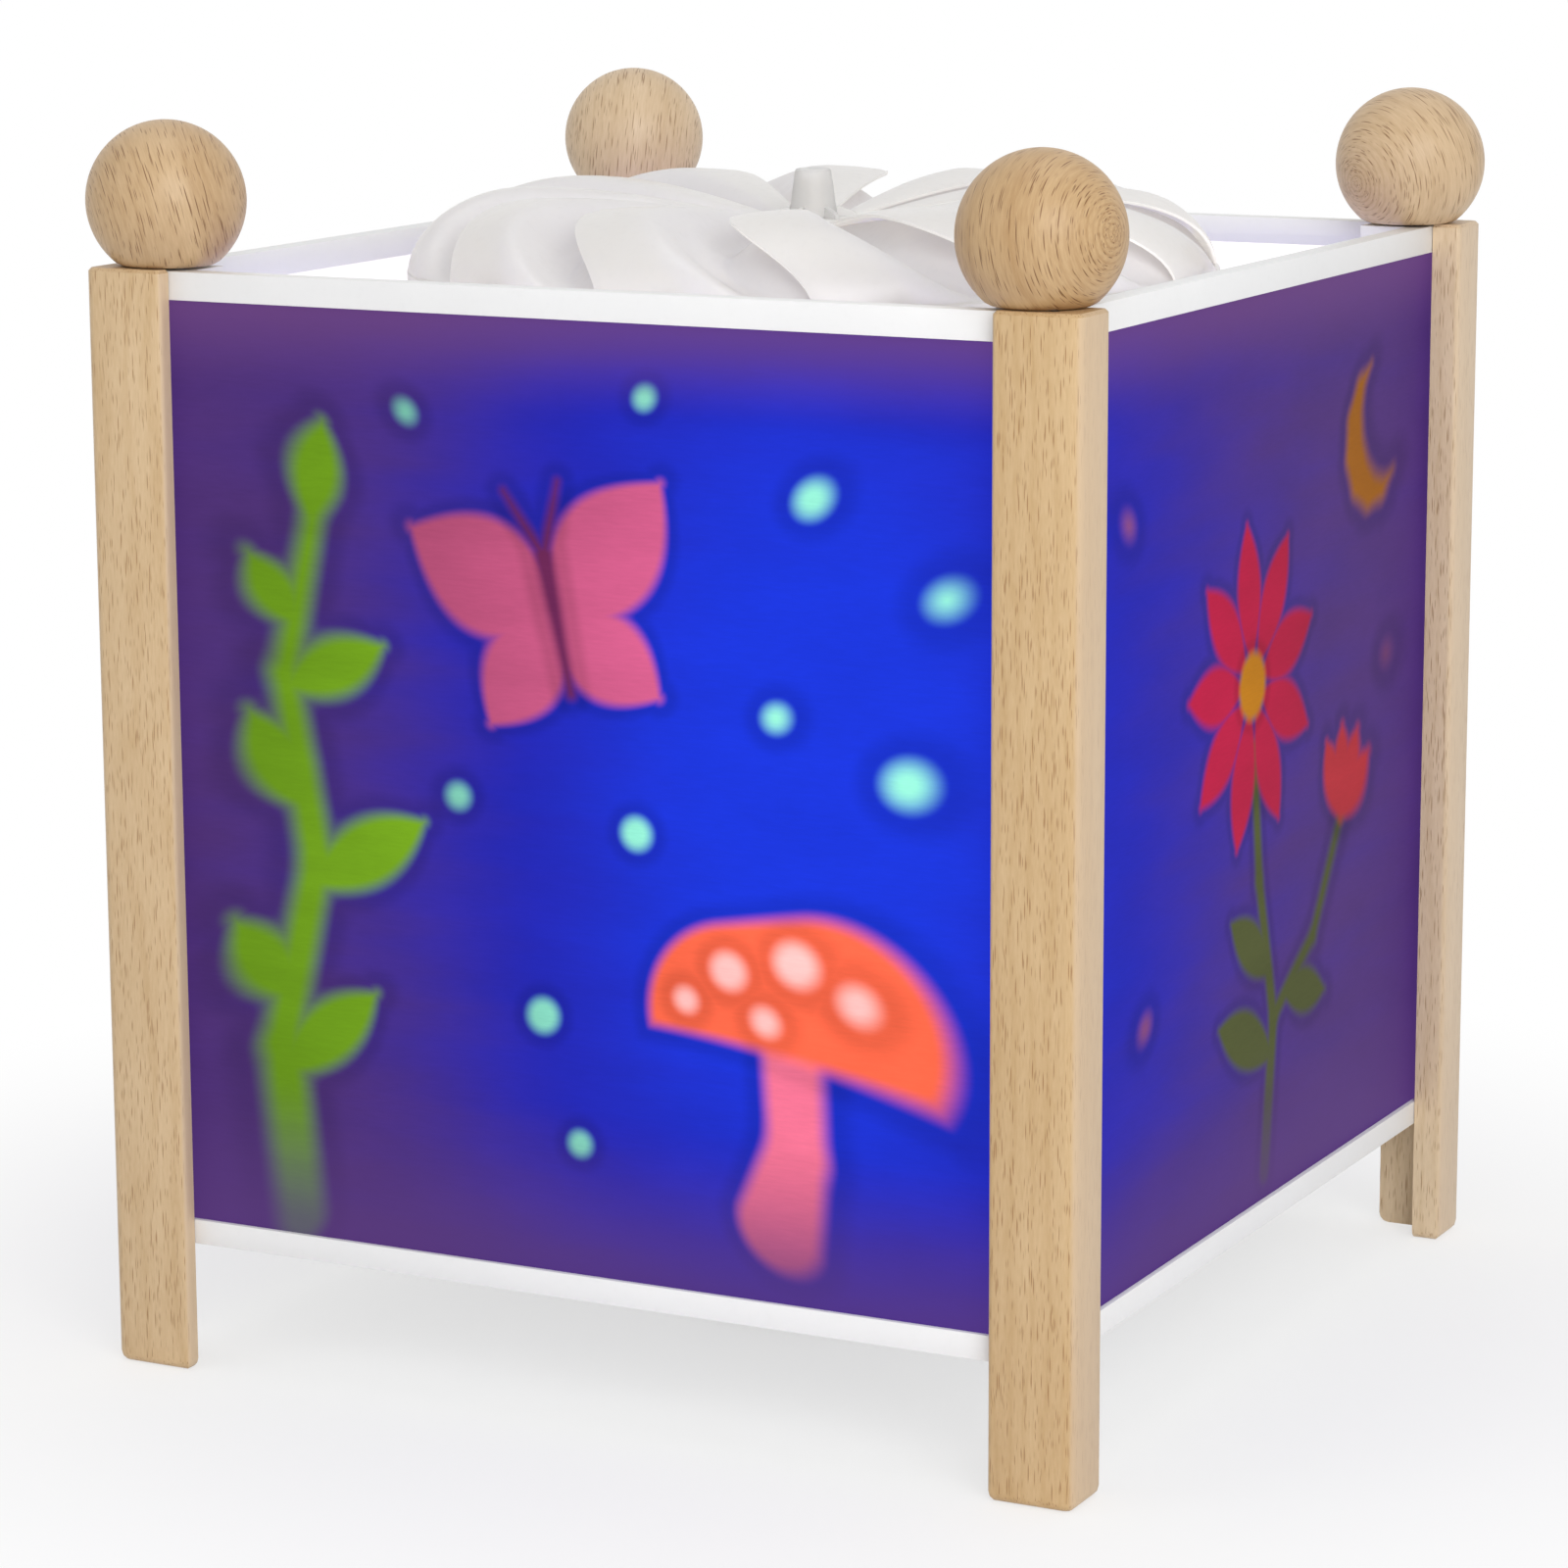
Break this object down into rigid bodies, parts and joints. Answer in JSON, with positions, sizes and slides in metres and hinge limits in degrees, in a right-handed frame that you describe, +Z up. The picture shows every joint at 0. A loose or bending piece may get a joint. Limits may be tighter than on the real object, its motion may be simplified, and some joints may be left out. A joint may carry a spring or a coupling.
{
  "type": "night light lantern",
  "caption": "Square wooden carousel night light: corner posts with ball finials, glowing printed panels, and an inner drum that turns on a needle under a petal turbine.",
  "frame": {"origin": "on the floor midway between the four feet", "axes": "+Z up along the carousel's axis; -Y is towards the front panel and +X towards the right-hand panel"},
  "size_m": [0.17, 0.1726, 0.1951],
  "materials": {
    "beech_post": "planed and oiled beech with short dark flecks",
    "beech_ball": "turned beech, oiled, slightly darker than the posts",
    "white_lacquer": "smooth white, satin",
    "printed_panel": "translucent satin sheet, lit from behind in blue and violet",
    "printed_film": "clear film with a translucent print",
    "frosted_plastic": "translucent white, satin",
    "hoop_plastic": "white, smooth",
    "bakelite": "off-white moulding, smooth",
    "brass": "bright brass",
    "steel": "bright zinc-plated steel",
    "nickel": "bright nickel plate",
    "black_plastic": "black, smooth",
    "bulb_glass": "clear glass",
    "tungsten": "glowing wire"
  },
  "bodies": {
    "lantern": {"post_front_left": "beech_post", "post_front_right": "beech_post", "post_back_right": "beech_post", "post_back_left": "beech_post", "top_frame": "white_lacquer", "finial_front_left": "beech_ball", "finial_screw_front_left": "steel", "finial_front_right": "beech_ball", "finial_screw_front_right": "steel", "finial_back_right": "beech_ball", "finial_screw_back_right": "steel", "finial_back_left": "beech_ball", "finial_screw_back_left": "steel", "panel_front": "printed_panel", "panel_back": "printed_panel", "panel_right": "printed_panel", "panel_left": "printed_panel", "base_plate": "white_lacquer", "lamp_holder": "bakelite", "screw_shell": "brass", "centre_contact": "brass", "threaded_nipple": "steel", "lock_nut": "steel", "arch_washer": "steel", "ring_nut": "bakelite", "wire_arch": "steel", "needle_ferrule": "brass", "pivot_needle": "steel", "bulb_glass": "bulb_glass", "bulb_cap": "nickel", "bulb_tip": "black_plastic", "bulb_stem": "bulb_glass", "filament": "tungsten", "terminal_cover": "bakelite", "cover_screw_left": "steel", "cover_screw_right": "steel", "cord_gland": "black_plastic", "gland_nut": "black_plastic"},
    "bearing": {"bearing_cup": "brass"},
    "carousel": {"turbine": "frosted_plastic", "drum_film": "printed_film", "drum_top_hoop": "hoop_plastic", "drum_bottom_hoop": "hoop_plastic"}
  },
  "joints": [
    {"name": "carousel_lift", "type": "slide", "parent": "lantern", "child": "bearing", "axis": [0, 0, 1], "range_m": [0, 0.165]},
    {"name": "carousel_spin", "type": "hinge", "parent": "bearing", "child": "carousel", "pos_m": [0, 0, 0.16], "axis": [0, 0, 1], "continuous": true}
  ]
}
